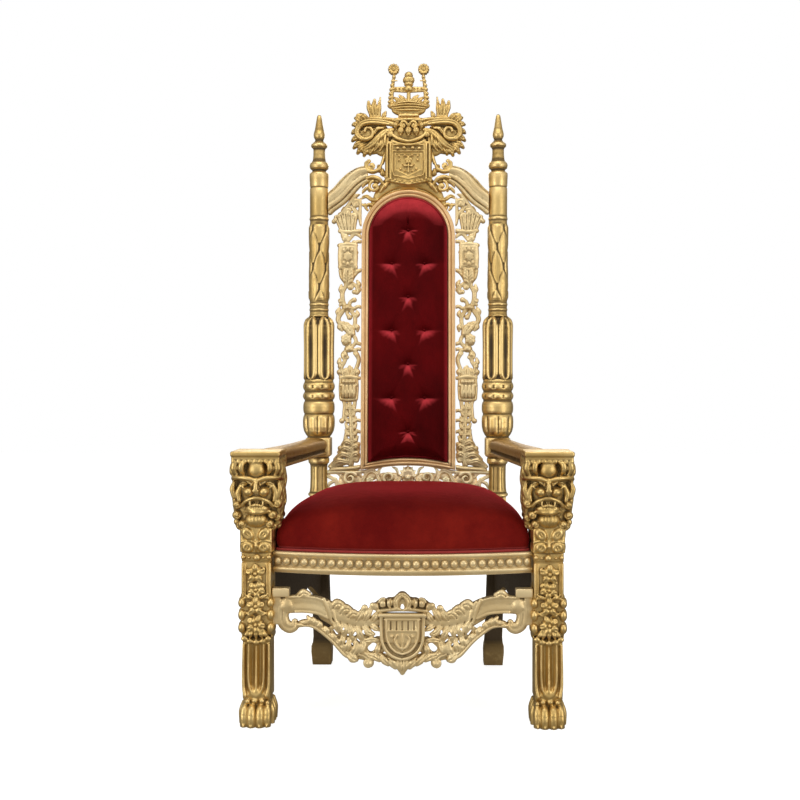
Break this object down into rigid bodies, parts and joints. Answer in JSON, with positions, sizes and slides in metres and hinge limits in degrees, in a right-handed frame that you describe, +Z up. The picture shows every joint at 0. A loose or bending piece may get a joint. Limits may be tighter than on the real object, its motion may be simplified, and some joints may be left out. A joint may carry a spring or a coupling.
{
  "type": "throne",
  "caption": "Carved and gilded ceremonial armchair with lion-head arm posts, a tall tufted velvet back between pinnacled posts, pierced panels, a crowned crest and a velvet seat.",
  "frame": {"origin": "on the floor under the middle of the throne", "axes": "+Z up, the throne faces -Y, +X is to the right of someone looking at its front"},
  "size_m": [0.8768, 0.7519, 1.868],
  "materials": {
    "gilded_wood": "bright antique gold leaf over carved wood, brown glaze in the hollows",
    "champagne_gilding": "paler champagne gold leaf over carved wood, brown glaze in the hollows",
    "shaded_gilding": "dark bronze-gold paint on plain wood",
    "red_velvet": "deep red velvet with a soft sheen"
  },
  "bodies": {
    "root": {"front_leg_left": "gilded_wood", "front_leg_right": "gilded_wood", "arm_left": "shaded_gilding", "arm_right": "shaded_gilding", "back_post_left": "gilded_wood", "back_post_right": "gilded_wood", "front_rail": "champagne_gilding", "side_rail_left": "gilded_wood", "side_rail_right": "gilded_wood", "back_rail": "gilded_wood", "side_apron_left": "gilded_wood", "side_apron_right": "gilded_wood", "front_apron": "champagne_gilding", "seat_cushion": "red_velvet", "back_frame": "champagne_gilding", "back_pad": "red_velvet", "back_button_1": "red_velvet", "back_button_2": "red_velvet", "back_button_3": "red_velvet", "back_button_4": "red_velvet", "back_button_5": "red_velvet", "back_button_6": "red_velvet", "back_button_7": "red_velvet", "back_button_8": "red_velvet", "back_button_9": "red_velvet", "back_button_10": "red_velvet", "filigree_left": "gilded_wood", "filigree_right": "gilded_wood", "lower_tracery": "gilded_wood", "yoke_left": "gilded_wood", "yoke_right": "gilded_wood", "crest": "gilded_wood", "crown": "gilded_wood"}
  },
  "joints": []
}
